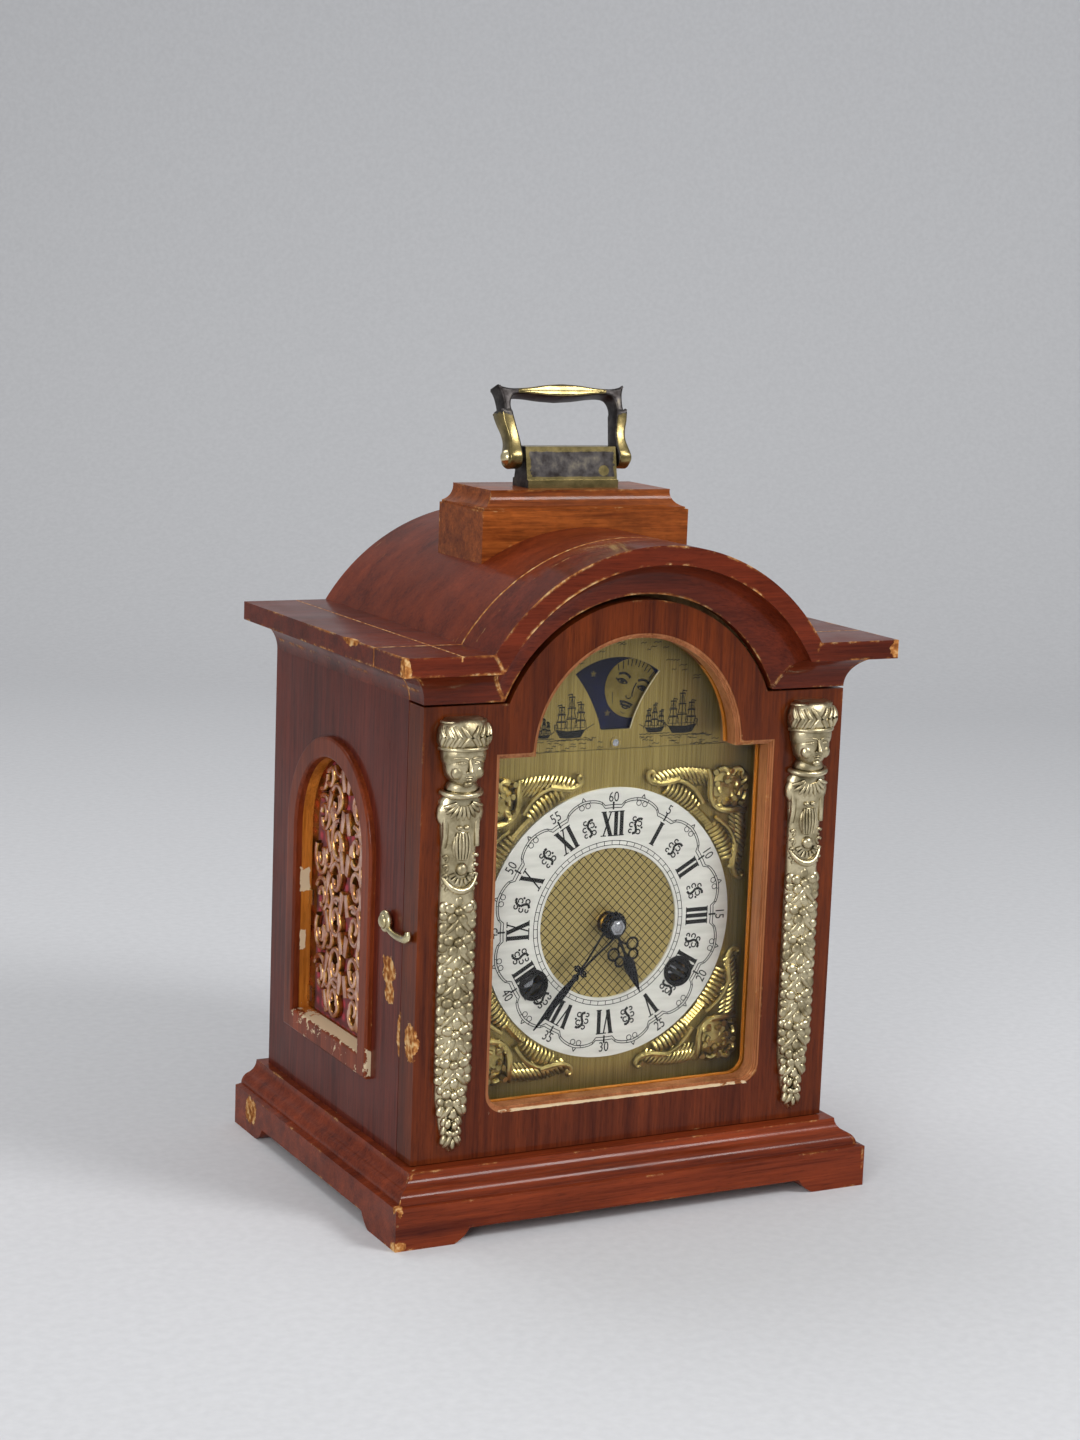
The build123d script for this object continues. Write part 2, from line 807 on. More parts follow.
def bail_half_outline():
    """Right half of the bail seen square on, from its pivot at the height 0."""
    eye_x = handle_base_w / 2 + bail_eye_gap
    outer_x = eye_x + bail_strap_t
    waist_x = bail_half_w - bail_waist_in / 2
    ankle_z, waist_z, hip_z, neck_z = (bail_h * share for share in bail_outer_shares)
    inner_ankle_z, inner_waist_z, inner_hip_z, inner_neck_z = (bail_h * share for share in bail_inner_shares)
    bar_x, inner_bar_x, outer_bar_x = (bail_half_w * share for share in bail_bar_shares)
    horn = (bail_half_w + bail_horn_out, bail_h + bail_horn_up)
    outer = Spline(
        (outer_x, -bail_eye_r),
        (outer_x + bail_bulge, 0),
        (outer_x, ankle_z),
        (waist_x - bail_waist_cut, waist_z),
        (bail_half_w, hip_z),
        (bail_half_w - bail_bulge, neck_z),
        horn,
    )
    top = Spline(
        horn,
        (outer_bar_x, bail_h - bail_bar_sink),
        (bar_x, bail_h + bail_bar_swell / 2),
        (0, bail_h + bail_bar_swell),
    )
    inner_x = bail_half_w - bail_strap_t
    inner = Spline(
        (0, bail_h - bail_strap_t - bail_bar_swell / 2),
        (bar_x, bail_h - bail_strap_t),
        (inner_bar_x, bail_h - bail_corner_sink),
        (inner_x - bail_inner_bulge, inner_neck_z),
        (inner_x - bail_inner_hollow, inner_hip_z),
        (waist_x - bail_inner_waist, inner_waist_z),
        (eye_x + bail_horn_out, inner_ankle_z),
        (eye_x, 0),
        (eye_x, -bail_eye_r),
    )
    ends = [Line((0, bail_h + bail_bar_swell), (0, bail_h - bail_strap_t - bail_bar_swell / 2)),
            Line((eye_x, -bail_eye_r), (outer_x, -bail_eye_r))]
    return make_face([outer, top, inner, *ends])


def carry_handle():
    half = slab(Pos(0, handle_z) * bail_half_outline(), handle_y - bail_strap_d / 2,
                handle_y + bail_strap_d / 2)
    # The strap narrows and rounds off below the pivots, seen from the side.
    half_d = bail_strap_d / 2
    waist_d = half_d * bail_side_share
    side = disc(handle_y, handle_z, bail_eye_r)
    side += Polygon((handle_y - bail_eye_r, handle_z), (handle_y + bail_eye_r, handle_z),
                    (handle_y + waist_d, handle_z + bail_h / 2),
                    (handle_y + half_d, handle_z + bail_h + overrun),
                    (handle_y - half_d, handle_z + bail_h + overrun),
                    (handle_y - waist_d, handle_z + bail_h / 2), align=None)
    half &= side_slab(side, -bail_half_w, bail_half_w * 2)
    bail = half + mirrored(half)
    bail -= cross_rod(handle_y, handle_z, bail_screw_r + bail_screw_gap, -bail_half_w * 2,
                      bail_half_w * 2)
    return bail.rotate(Axis((0, handle_y, handle_z), (1, 0, 0)), -handle_lean)


def handle_screws():
    """Shouldered screws: the shank holds the bail, the ball head stands outside it."""
    half_w = handle_base_w / 2
    head_x = half_w + bail_eye_gap + bail_strap_t + bail_strap_t / 2
    shank = cross_rod(handle_y, handle_z, bail_screw_r, half_w - bail_screw_depth, head_x)
    seat = (Align.CENTER, Align.CENTER, Align.MIN)
    ball = Rot(0, 90, 0) * Sphere(bail_screw_head_r, arc_size1=0, align=seat)
    ball = Pos(head_x, handle_y, handle_z) * ball
    screw = shank + ball
    return [screw, mirrored(screw)]


# Front door

def window_outline(grow):
    """Break-arch window with rounded lower corners, grown by a rim."""
    half_w = window_half_w + grow
    shape = area(-half_w, half_w, window_bottom_z - grow, window_spring_z + grow)
    shape += disc(0, window_spring_z, window_arch_r + grow)
    corners = shape.vertices().group_by(Axis.Y)[0]
    return fillet(corners, window_corner_r + grow)


def door_outline():
    top_z = case_top_z - door_bottom_gap * 2
    outline = area(-case_half_w, case_half_w, plinth_h + door_bottom_gap, top_z)
    head = disc(0, arch_centre_z, arch_inner_r - door_arch_gap)
    return outline + (head - area(-arch_r, arch_r, arch_centre_z - arch_r, top_z - door_gap))


def door_panel():
    panel = slab(door_outline(), door_front_y, door_back_y)
    panel -= slab(window_outline(0), door_front_y - overrun, door_back_y + overrun)
    panel -= slab(window_outline(glass_rebate), glass_front_y, door_back_y + overrun)
    for step_share in window_bevel_shares:
        depth = window_bevel * (1 - step_share) + window_bevel_step
        panel -= slab(window_outline(window_bevel * step_share), door_front_y - overrun,
                      door_front_y + depth)
    for z in (door_hinge_low_z, door_hinge_high_z):
        panel -= block(case_half_w - hinge_leaf_w, case_half_w, door_back_y - hinge_leaf_t,
                       door_back_y, z - hinge_l / 2, z + hinge_l / 2)
    catch = cross_rod(catch_y, catch_z, catch_r, -case_half_w - overrun, -case_half_w + catch_depth)
    return panel - catch


def door_glass():
    return slab(window_outline(glass_rebate - glass_gap), glass_front_y, glass_back_y)


def glass_beads():
    ring = window_outline(glass_rebate) - window_outline(glass_rebate - glass_bead_w)
    return slab(ring, glass_back_y, glass_back_y + glass_bead_t)


def figure_mount():
    """Half-round cast figure: a crowned head on a tapering body with a hanging garland."""
    stations = [
        (figure_crown_r * figure_crown_share, figure_top_z),
        (figure_crown_r, figure_top_z - figure_crown_h * figure_band_share),
        (figure_head_r, figure_top_z - figure_crown_h),
        (figure_head_r, figure_top_z - figure_head_h * figure_cheek_share),
        (figure_neck_r, figure_top_z - figure_head_h),
        (figure_neck_r, figure_top_z - figure_neck_h * figure_nape_share),
        (figure_shoulder_r, figure_top_z - figure_shoulder_h * figure_collar_share),
        (figure_shoulder_r, figure_top_z - figure_shoulder_h * figure_arm_share),
        (figure_waist_r, figure_top_z - figure_waist_h),
        (figure_body_r, figure_top_z - figure_waist_h * figure_girdle_share),
        (figure_waist_r, figure_top_z - figure_taper_h),
        (figure_tip_r * figure_tip_share, figure_tip_z + figure_tip_rise),
        (figure_tip_r, figure_tip_z),
    ]
    outline = Polygon((0, figure_top_z), *stations, (0, figure_tip_z), align=None)
    body = revolve(Plane.XZ * outline, Axis.Z)
    low = figure_tip_z + figure_boss_rise
    for boss in range(int((figure_top_z - figure_shoulder_h - low) / figure_boss_pitch)):
        z = figure_top_z - figure_shoulder_h - (boss + 0.5) * figure_boss_pitch
        body += Pos(0, -figure_waist_r, z) * Sphere(figure_boss_r)
    body -= block(-figure_crown_r * 2, figure_crown_r * 2, 0, figure_crown_r * 2,
                  figure_tip_z - overrun, figure_top_z + overrun)
    return Pos(figure_x, door_front_y, 0) * body


# Hinges, hook, back door

def butt_hinge(z):
    """Fixed leaf with its pin, and moving leaf, about a vertical pin at the origin.

    The leaves lie towards -X: the fixed one on the +Y side, the moving one on the -Y side.
    """
    third = hinge_l / hinge_knuckles
    low = z - hinge_l / 2
    reach = hinge_x - (case_half_w - hinge_leaf_w)
    half_gap = (case_front_y - door_back_y) / 2
    barrel = Circle(hinge_r)
    bore = Circle(hinge_pin_r + hinge_running_gap)
    fixed = flat_slab(Circle(hinge_pin_r), low, low + hinge_l)
    for start in (low, low + 2 * third):
        fixed += flat_slab(barrel, start, start + third - hinge_knuckle_gap)
        fixed += block(-reach, -hinge_pin_r, half_gap, half_gap + hinge_leaf_t, start,
                       start + third - hinge_knuckle_gap)
    moving = flat_slab(barrel - bore, low + third, low + 2 * third - hinge_knuckle_gap)
    tongue = block(-reach, 0, -half_gap - hinge_leaf_t, -half_gap, low + third,
                   low + 2 * third - hinge_knuckle_gap)
    moving += tongue - flat_slab(bore, low, low + hinge_l)
    plate = block(-reach, -hinge_r - hinge_knuckle_gap, -half_gap - hinge_leaf_t, -half_gap,
                  low, low + hinge_l)
    moving += plate
    place = Pos(hinge_x, hinge_y, 0)
    return place * fixed, place * moving


def surface_hinge(z):
    """Hinge of the back door: both leaves lie on the back faces, either side of the pin."""
    third = hinge_l / hinge_knuckles
    low = z - hinge_l / 2
    barrel = Circle(hinge_r)
    bore = Circle(hinge_pin_r + hinge_running_gap)
    fixed = flat_slab(Circle(hinge_pin_r), low, low + hinge_l)
    for start in (low, low + 2 * third):
        fixed += flat_slab(barrel, start, start + third - hinge_knuckle_gap)
        fixed += block(hinge_pin_r, hinge_leaf_w, -hinge_r, -hinge_r + hinge_leaf_t, start,
                       start + third - hinge_knuckle_gap)
    fixed += block(hinge_r + hinge_knuckle_gap, hinge_leaf_w, -hinge_r, -hinge_r + hinge_leaf_t,
                   low, low + hinge_l - hinge_knuckle_gap)
    moving = flat_slab(barrel - bore, low + third, low + 2 * third - hinge_knuckle_gap)
    tongue = block(-hinge_leaf_w, 0, -hinge_r, -hinge_r + hinge_leaf_t, low + third,
                   low + 2 * third - hinge_knuckle_gap)
    moving += tongue - flat_slab(bore, low, low + hinge_l)
    moving += block(-hinge_leaf_w, -hinge_r - hinge_knuckle_gap, -hinge_r, -hinge_r + hinge_leaf_t,
                    low, low + hinge_l - hinge_knuckle_gap)
    place = Pos(back_hinge_x, back_hinge_y, 0)
    return place * fixed, place * moving


def door_hook():
    """Brass hook on the case side. Its arm passes under a pin of the door and turns up before it."""
    x_low = -case_half_w - hook_stand_off - hook_t
    arm_top = -catch_r - hook_catch_gap
    nose_y = -hook_reach - catch_r - hook_catch_gap
    nose_top = catch_r + hook_nose_rise
    arm = area(nose_y - hook_nose_t, 0, arm_top - hook_w, arm_top)
    arm += disc(0, 0, hook_eye_r)
    arm += area(nose_y - hook_nose_t, nose_y, arm_top - hook_w, nose_top)
    arm += disc(nose_y - hook_nose_t / 2, nose_top, hook_nose_t / 2)
    arm -= disc(0, 0, hook_screw_r + running_gap)
    arm = Pos(hook_y, hook_pivot_z) * Rot(0, 0, hook_drop_angle) * arm
    return side_slab(arm, x_low, x_low + hook_t)


def hook_screw():
    x_inner = -case_half_w + hook_screw_depth
    x_head = -case_half_w - hook_stand_off - hook_t - hook_stand_off
    shank = cross_rod(hook_y, hook_pivot_z, hook_screw_r, x_head, x_inner)
    head = cross_rod(hook_y, hook_pivot_z, hook_screw_head_r, x_head - hook_screw_head_t, x_head)
    washer = cross_rod(hook_y, hook_pivot_z, hook_screw_head_r, -case_half_w - hook_stand_off / 2,
                       -case_half_w)
    return shank + head + washer


def catch_pin():
    return cross_rod(catch_y, catch_z, catch_r, -case_half_w - catch_out, -case_half_w + catch_depth)


def back_door():
    y_front = case_back_y - back_door_t
    return block(-back_door_half_w, back_door_half_w, y_front, case_back_y,
                 back_door_bottom_z, back_door_top_z)


def back_knob():
    knob_x = -back_door_half_w + hinge_leaf_w
    knob_z = (back_door_bottom_z + back_door_top_z) / 2
    neck = rod(knob_x, knob_z, back_knob_neck_r, case_back_y, case_back_y + back_knob_out / 2)
    return neck + rod(knob_x, knob_z, back_knob_r, case_back_y + back_knob_out / 2,
                      case_back_y + back_knob_out)


# Gears

def involute(angle):
    return tan(angle) - angle


def gear_outline(teeth, module, phase):
    """Outline about the origin. A tooth points at the phase, in degrees from +X towards +Z."""
    pitch_r = teeth * module / 2
    tip_r = pitch_r + tooth_addendum_share * module
    root_r = pitch_r - tooth_dedendum_share * module
    base_r = pitch_r * cos(radians(pressure_angle))
    pitch_half = pi / (2 * teeth) - tooth_thinning / pitch_r + involute(radians(pressure_angle))
    radii = [root_r, max(root_r, base_r), pitch_r, tip_r]
    if teeth > 2 * leaf_teeth:
        radii = [root_r, tip_r]
    halves = [pitch_half - involute(acos(base_r / max(r, base_r))) for r in radii]
    points = []
    for tooth in range(teeth):
        middle = radians(phase) + 2 * pi * tooth / teeth
        flank = [(r, middle - half) for r, half in zip(radii, halves)]
        flank += [(r, middle + half) for r, half in reversed(list(zip(radii, halves)))]
        points += [(r * cos(a), r * sin(a)) for r, a in flank]
    unique = [p for i, p in enumerate(points) if p != points[i - 1]]
    return Polygon(*unique, align=None)


def mesh_phase(phase, teeth, other_teeth, direction):
    """Phase of a gear that meshes with another one, which it sees at direction + 180 degrees."""
    share = ((direction - phase) * teeth / 360) % 1
    return direction + 180 + (share + 0.5) * 360 / other_teeth


def spoked(outline, root_r, bore_r):
    """Wheel crossed out to a rim, a hub and spokes."""
    rim_r = root_r * rim_share
    hub_r = max(root_r * hub_share, bore_r + spoke_w)
    wheel = outline - Circle(rim_r) + Circle(hub_r)
    for spoke in range(spoke_count):
        bar = Pos((hub_r + rim_r) / 2, 0) * Rectangle(rim_r - hub_r + spoke_w, spoke_w)
        wheel += Rot(0, 0, spoke * 360 / spoke_count) * bar
    return wheel


def wheel(x, z, teeth, module, phase, y_front, thickness, bore_r=0.0, cross=True):
    outline = gear_outline(teeth, module, phase)
    if cross:
        outline = spoked(outline, teeth * module / 2 - module, bore_r)
    if bore_r > 0:
        outline -= Circle(bore_r)
    return slab(Pos(x, z) * outline, y_front, y_front + thickness)


def arbor(x, z, r=arbor_r):
    """Arbor between the plates, with a thinner pivot in each plate."""
    body = rod(x, z, r, plate_front_back_y + end_shake, plate_back_y - end_shake)
    body += rod(x, z, pivot_r, plate_front_y, plate_front_back_y + end_shake)
    return body + rod(x, z, pivot_r, plate_back_y - end_shake, plate_back_back_y)


# Places of the train, each found from the one before it and the gear sizes

def third_point(x_a, z_a, r_a, x_b, z_b, r_b):
    """Upper of the two points at set distances from two others."""
    span = hypot(x_b - x_a, z_b - z_a)
    along = (r_a ** 2 - r_b ** 2 + span ** 2) / (2 * span)
    rise = sqrt(r_a ** 2 - along ** 2)
    unit_x = (x_b - x_a) / span
    unit_z = (z_b - z_a) / span
    return x_a + along * unit_x + rise * unit_z, z_a + along * unit_z - rise * unit_x


barrel_reach = barrel_module * (barrel_teeth + leaf_teeth) / 2
second_reach = second_module * (second_teeth + leaf_teeth) / 2
second_x, second_z = third_point(winding_x, winding_z, barrel_reach, dial_x, dial_z, second_reach)
third_x, third_z = beyond(third_angle, dial_x, dial_z, centre_module * (centre_teeth + leaf_teeth) / 2)
escape_x, escape_z = beyond(escape_angle, third_x, third_z, third_module * (third_teeth + leaf_teeth) / 2)
pin_x, pin_z = beyond(pin_wheel_angle, -winding_x, winding_z, barrel_reach)
balance_x = escape_x + balance_reach
balance_z = escape_z
pallet_x = escape_x + escape_r + pallet_gap + pallet_l / 2

going_phase = 0.0
to_second = bearing(winding_x, winding_z, second_x, second_z)
second_pinion_phase = mesh_phase(going_phase, barrel_teeth, leaf_teeth, to_second)
to_centre = bearing(second_x, second_z, dial_x, dial_z)
centre_pinion_phase = mesh_phase(0, second_teeth, leaf_teeth, to_centre)
third_pinion_phase = mesh_phase(0, centre_teeth, leaf_teeth, third_angle)
escape_pinion_phase = mesh_phase(0, third_teeth, leaf_teeth, escape_angle)
pin_pinion_phase = mesh_phase(going_phase, barrel_teeth, leaf_teeth, pin_wheel_angle)
minute_wheel_phase = mesh_phase(0, cannon_teeth, minute_wheel_teeth, 0)
hour_wheel_phase = mesh_phase(0, minute_pinion_teeth, hour_wheel_teeth, 180)
driver_phase = mesh_phase(hour_wheel_phase, hour_wheel_teeth, driver_teeth, 90)


# Dial

def dial_plate():
    outline = area(-dial_half_w, dial_half_w, dial_bottom_z, dial_joint_z - dial_joint_gap)
    outline -= disc(dial_x, dial_z, hour_hole_r)
    for x in (-winding_x, winding_x):
        outline -= disc(x, winding_z, winding_hole_r)
    plate = slab(outline, dial_plate_y, dial_back_y)
    for x in (-dial_foot_x, dial_foot_x):
        for z in (dial_foot_low_z, dial_foot_high_z):
            plate += rod(x, z, dial_foot_r, dial_back_y, dial_back_y + dial_foot_l)
    return plate


def moon_window():
    """Crescent opening: a round top and two humps that hide the moon in turn."""
    corner = (moon_window_half_w, moon_window_corner_h)
    foot = (moon_window_foot_half_w, moon_window_foot_h)
    middle = ((corner[0] + foot[0]) / 2 - moon_hump_bow, (corner[1] + foot[1]) / 2)
    top = ThreePointArc((-corner[0], corner[1]), (0, moon_window_r), corner)
    right = ThreePointArc(corner, middle, foot)
    left = ThreePointArc((-foot[0], foot[1]), (-middle[0], middle[1]), (-corner[0], corner[1]))
    bottom = Line(foot, (-foot[0], foot[1]))
    return Pos(0, moon_pivot_z) * make_face([top, right, bottom, left])


def arch_plate():
    """Arch of the dial with its opening, and the riveted post that the moon disc turns on."""
    low_z = dial_joint_z + dial_joint_gap
    outline = disc(0, window_spring_z, arch_plate_r)
    outline -= area(-arch_plate_r * 2, arch_plate_r * 2, low_z - arch_plate_r * 3, low_z)
    outline += area(-arch_plate_r, arch_plate_r, low_z, window_spring_z)
    plate = slab(outline - moon_window(), dial_plate_y, dial_back_y)
    disc_back_y = moon_disc_y + moon_disc_t
    clip_y = disc_back_y + moon_post_clip_gap
    post = rod(0, moon_pivot_z, moon_post_r, dial_back_y, clip_y + moon_post_clip_t)
    head = rod(0, moon_pivot_z, moon_post_head_r, dial_plate_y - moon_post_head_t, dial_plate_y)
    clip = rod(0, moon_pivot_z, moon_post_clip_r, clip_y, clip_y + moon_post_clip_t)
    return plate + post + head + clip


def moon_disc():
    outline = gear_outline(moon_teeth, moon_module, 0) - Circle(moon_post_r + running_gap)
    return slab(Pos(0, moon_pivot_z) * outline, moon_disc_y, moon_disc_y + moon_disc_t)


def chapter_ring():
    outline = disc(dial_x, dial_z, ring_outer_r) - disc(dial_x, dial_z, ring_inner_r)
    for x in (-winding_x, winding_x):
        outline -= disc(x, winding_z, winding_hole_r)
    return slab(outline, ring_y, dial_plate_y)


def winding_grommets():
    grommets = []
    for x in (-winding_x, winding_x):
        flange = tube(x, winding_z, grommet_flange_r, grommet_bore_r, ring_y - grommet_flange_t,
                      ring_y)
        sleeve = tube(x, winding_z, winding_hole_r, grommet_bore_r, ring_y, dial_back_y)
        grommets.append(flange + sleeve)
    return grommets


def spandrel_dome(x, z, r):
    """Shallow dome: the cap of a sphere that is as high as it may stand out."""
    rise = min(r, spandrel_dome_rise)
    sphere_r = (r ** 2 + rise ** 2) / (2 * rise)
    cap = ThreePointArc((r, 0), (sphere_r * sin(asin(r / sphere_r) / 2),
                                 sphere_r * cos(asin(r / sphere_r) / 2) - sphere_r + rise), (0, rise))
    section = make_face([cap, Line((0, rise), (0, 0)), Line((0, 0), (r, 0))])
    dome = revolve(Plane.XZ * section, Axis.Z)
    return Pos(x, dial_plate_y - spandrel_t, z) * Rot(90, 0, 0) * dome


def spandrel(top):
    """Right-hand corner mount: leaf lobes that grow towards the corner, around a boss."""
    reach_z = spandrel_reach_high_z - dial_z if top else dial_z - spandrel_reach_low_z
    inner_r = ring_outer_r + spandrel_ring_gap
    corner_r = hypot(spandrel_reach_x, reach_z)
    corner_angle = degrees(atan2(reach_z, spandrel_reach_x))
    width = corner_r - inner_r
    outline = Sketch()
    bosses = []
    for step in range(-spandrel_steps, spandrel_steps + 1):
        share = abs(step) / spandrel_steps
        lobe_r = width / 2 * (1 - share) * spandrel_lobe_share + width * spandrel_least_share
        angle = corner_angle + step / spandrel_steps * corner_angle * spandrel_spread_share
        x, z = beyond(angle, 0, 0, inner_r + lobe_r)
        outline += disc(x, z, lobe_r)
        bosses.append((x, z, lobe_r))
    outline &= area(0, spandrel_reach_x, 0, reach_z)
    body = slab(outline, dial_plate_y - spandrel_t, dial_plate_y)
    for x, z, r in bosses:
        body += spandrel_dome(x, z, r * spandrel_boss_share)
    if not top:
        body = mirror(body, Plane.XY)
    return Pos(0, 0, dial_z) * body


# Hands and motion work

def minute_hand():
    root = hand_boss_r * hand_root_share
    waist, cross_at, taper = (minute_hand_l * share for share in minute_hand_shares)
    shape = Polygon((-root, 0), (root, 0), (hand_stem_w / 2, waist), (hand_stem_w / 2, taper),
                    (hand_tip_w / 2, minute_hand_l), (-hand_tip_w / 2, minute_hand_l),
                    (-hand_stem_w / 2, taper), (-hand_stem_w / 2, waist), align=None)
    shape += Circle(hand_boss_r)
    shape += Pos(nub_r, cross_at) * Circle(nub_r)
    shape += Pos(-nub_r, cross_at) * Circle(nub_r)
    shape += Pos(0, cross_at + nub_r * nub_top_share) * Circle(nub_r)
    shape -= Circle(cannon_seat_r)
    return slab(turned(shape, dial_x, dial_z, minute_hand_angle), minute_hand_y,
                minute_hand_y + hand_t)


def hour_hand():
    seat_r = cannon_pipe_r + running_gap + hour_pipe_wall
    shape = Circle(seat_r + hand_stem_w)
    shape += Pos(0, hour_hand_l / 2) * Rectangle(hand_stem_w, hour_hand_l * hour_rod_share)
    for loop_share in hour_loop_shares:
        for side in (-1, 1):
            shape += Pos(side * (loop_r - loop_join), hour_hand_l * loop_share) * Circle(loop_r)
    for loop_share in hour_loop_shares:
        for side in (-1, 1):
            shape -= Pos(side * (loop_r - loop_hole_join), hour_hand_l * loop_share) * Circle(loop_hole_r)
    leaf = hour_hand_l * hour_leaf_share
    leaf_half_w = hand_stem_w * hour_leaf_w_share
    root = leaf - hand_stem_w * 2
    shape += Polygon((-hand_stem_w / 2, root), (hand_stem_w / 2, root), (leaf_half_w, leaf),
                     (hand_tip_w / 2, hour_hand_l), (-hand_tip_w / 2, hour_hand_l),
                     (-leaf_half_w, leaf), align=None)
    shape -= Circle(seat_r)
    return slab(turned(shape, dial_x, dial_z, hour_hand_angle), hour_hand_y, hour_hand_y + hand_t)


def hand_nut():
    outline = RegularPolygon(hand_nut_r, 6) - Circle(cannon_seat_r)
    return slab(Pos(dial_x, dial_z) * outline, minute_hand_y - hand_nut_t, minute_hand_y)


def cannon_pinion():
    """Pipe that the minute hand sits on, slipping on the centre arbor."""
    bore_r = centre_arbor_r + running_gap
    teeth = wheel(dial_x, dial_z, cannon_teeth, cannon_module, 0, motion_layer_1_y, motion_wheel_t,
                  bore_r, cross=False)
    seat_y = minute_hand_y + hand_t
    pipe = tube(dial_x, dial_z, cannon_pipe_r, bore_r, seat_y, motion_layer_1_y)
    tip = tube(dial_x, dial_z, cannon_seat_r, bore_r, minute_hand_y - hand_nut_t + hand_t / 2, seat_y)
    return teeth + pipe + tip


def minute_wheel():
    bore_r = minute_stud_r + running_gap
    body = wheel(minute_stud_x, dial_z, minute_wheel_teeth, cannon_module, minute_wheel_phase,
                 motion_layer_1_y, motion_wheel_t, bore_r)
    pinion = wheel(minute_stud_x, dial_z, minute_pinion_teeth, motion_module, 0,
                   motion_layer_1_y - motion_pinion_t, motion_pinion_t, bore_r, cross=False)
    return body + pinion


def hour_wheel():
    bore_r = cannon_pipe_r + running_gap
    body = wheel(dial_x, dial_z, hour_wheel_teeth, motion_module, hour_wheel_phase,
                 motion_layer_2_y, motion_wheel_t, bore_r)
    pipe = tube(dial_x, dial_z, bore_r + hour_pipe_wall, bore_r, hour_hand_y, motion_layer_2_y)
    return body + pipe


def moon_driver():
    """Wheel that turns once in twelve hours and moves the moon disc by one tooth."""
    bore_r = minute_stud_r + running_gap
    body = wheel(dial_x, driver_z, driver_teeth, motion_module, driver_phase, motion_layer_2_y,
                 motion_wheel_t, bore_r, cross=False)
    disc_tip = moon_teeth * moon_module / 2 + tooth_addendum_share * moon_module
    orbit = moon_pivot_z - driver_z - disc_tip - driver_finger_r - driver_finger_gap
    finger_x, finger_z = beyond(driver_finger_angle, dial_x, driver_z, orbit)
    finger = rod(finger_x, finger_z, driver_finger_r, dial_back_y + driver_finger_end_gap,
                 motion_layer_2_y)
    return body + finger


# Movement

def plate_outline():
    return area(-plate_half_w, plate_half_w, plate_low_z, plate_high_z)


def train_places():
    return [(second_x, second_z), (third_x, third_z), (pin_x, pin_z)]


def front_plate():
    outline = plate_outline()
    for x, z in train_places():
        outline -= disc(x, z, pivot_r + running_gap)
    outline -= disc(dial_x, dial_z, centre_arbor_r + running_gap)
    outline -= disc(escape_x, escape_z, pivot_r + running_gap)
    outline -= disc(hammer_x, hammer_z, pivot_r + running_gap)
    for x in (-winding_x, winding_x):
        outline -= disc(x, winding_z, winding_arbor_r + running_gap)
    plate = slab(outline, plate_front_y, plate_front_back_y)
    stud_front = motion_layer_1_y - motion_pinion_t - motion_wheel_t / 2
    plate += rod(minute_stud_x, dial_z, minute_stud_r, stud_front, plate_front_y)
    plate += rod(dial_x, driver_z, minute_stud_r, motion_layer_2_y - motion_wheel_t, plate_front_y)
    return plate


def back_plate():
    outline = plate_outline()
    for x, z in train_places():
        outline -= disc(x, z, pivot_r + running_gap)
    outline -= disc(dial_x, dial_z, pivot_r + running_gap)
    outline -= disc(escape_x, escape_z, arbor_r + running_gap)
    outline -= disc(pallet_x, escape_z, pivot_r + running_gap)
    outline -= disc(balance_x, balance_z, pivot_r + running_gap)
    outline -= disc(hammer_x, hammer_z, hammer_arbor_r + running_gap)
    for x in (-winding_x, winding_x):
        outline -= disc(x, winding_z, winding_arbor_r + running_gap)
    return slab(outline, plate_back_y, plate_back_back_y)


def plate_pillars():
    """Turned pillars between the plates with their nuts, and posts that hang the movement."""
    pieces = []
    for x in (-plate_half_w + pillar_inset, plate_half_w - pillar_inset):
        for z in (plate_low_z + pillar_inset, plate_high_z - pillar_inset):
            pieces.append(rod(x, z, pillar_r, plate_front_back_y, plate_back_y))
            nut_back_y = plate_back_back_y + pillar_screw_t
            pieces.append(rod(x, z, pillar_screw_r, plate_back_back_y, nut_back_y))
    for x in (-post_x, post_x):
        for z in (post_low_z, post_high_z):
            pieces.append(rod(x, z, post_r, dial_frame_y + dial_frame_t, plate_front_y))
    return pieces


def spring_barrel(x, phase):
    """Closed drum with teeth on its rear cap. It turns on the winding arbor."""
    bore_r = winding_arbor_r + running_gap
    drum = rod(x, winding_z, barrel_r, barrel_front_y, barrel_back_y)
    drum -= rod(x, winding_z, barrel_r - barrel_wall, barrel_front_y + barrel_wall,
                barrel_back_y - barrel_wall)
    drum -= rod(x, winding_z, bore_r, barrel_front_y - overrun, barrel_back_y + overrun)
    gear = wheel(x, winding_z, barrel_teeth, barrel_module, phase, barrel_back_y, barrel_gear_t,
                 bore_r, cross=False)
    return drum + gear


def winding_arbor(x):
    square = slab(Pos(x, winding_z) * Rectangle(winding_square, winding_square), winding_end_y,
                  winding_shoulder_y)
    shaft = rod(x, winding_z, winding_arbor_r, winding_shoulder_y, plate_back_back_y)
    hub = rod(x, winding_z, barrel_hub_r, barrel_front_y + barrel_wall + barrel_hub_gap,
              barrel_back_y - barrel_wall - barrel_hub_gap)
    points = []
    for tooth in range(ratchet_teeth):
        angle = 360 * tooth / ratchet_teeth
        points.append(beyond(angle, x, winding_z, ratchet_r))
        points.append(beyond(angle + ratchet_rake, x, winding_z, ratchet_r - ratchet_depth))
    ratchet = slab(Polygon(*points, align=None), ratchet_y, ratchet_y + ratchet_t)
    return square + shaft + hub + ratchet


